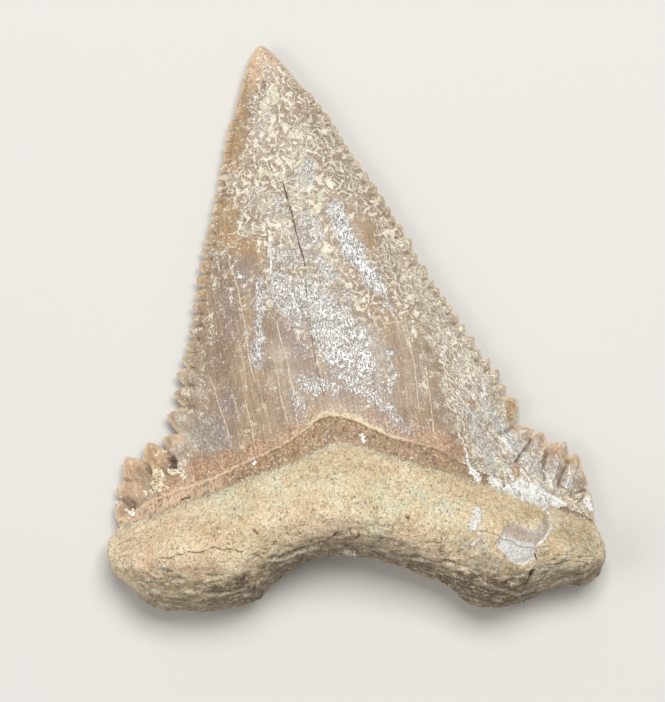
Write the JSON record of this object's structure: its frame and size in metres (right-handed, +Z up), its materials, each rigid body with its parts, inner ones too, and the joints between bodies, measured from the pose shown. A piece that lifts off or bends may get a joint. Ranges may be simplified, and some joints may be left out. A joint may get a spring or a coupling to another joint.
{
  "type": "fossil shark tooth",
  "caption": "Fossil shark tooth lying flat, with a broad triangular saw-edged crown, serrated side cusplets and a thick two-lobed root.",
  "frame": {"origin": "middle of the tooth's width and length, on the surface that its flat outer face rests on", "axes": "+Y from the root to the tip, +X to the right seen from above, +Z up, out of the full inner face"},
  "size_m": [0.0448, 0.0518, 0.0113],
  "materials": {
    "tooth": "glossy weathered enamel on the crown, matt porous root"
  },
  "bodies": {
    "root": {"tooth": "tooth"}
  },
  "joints": []
}
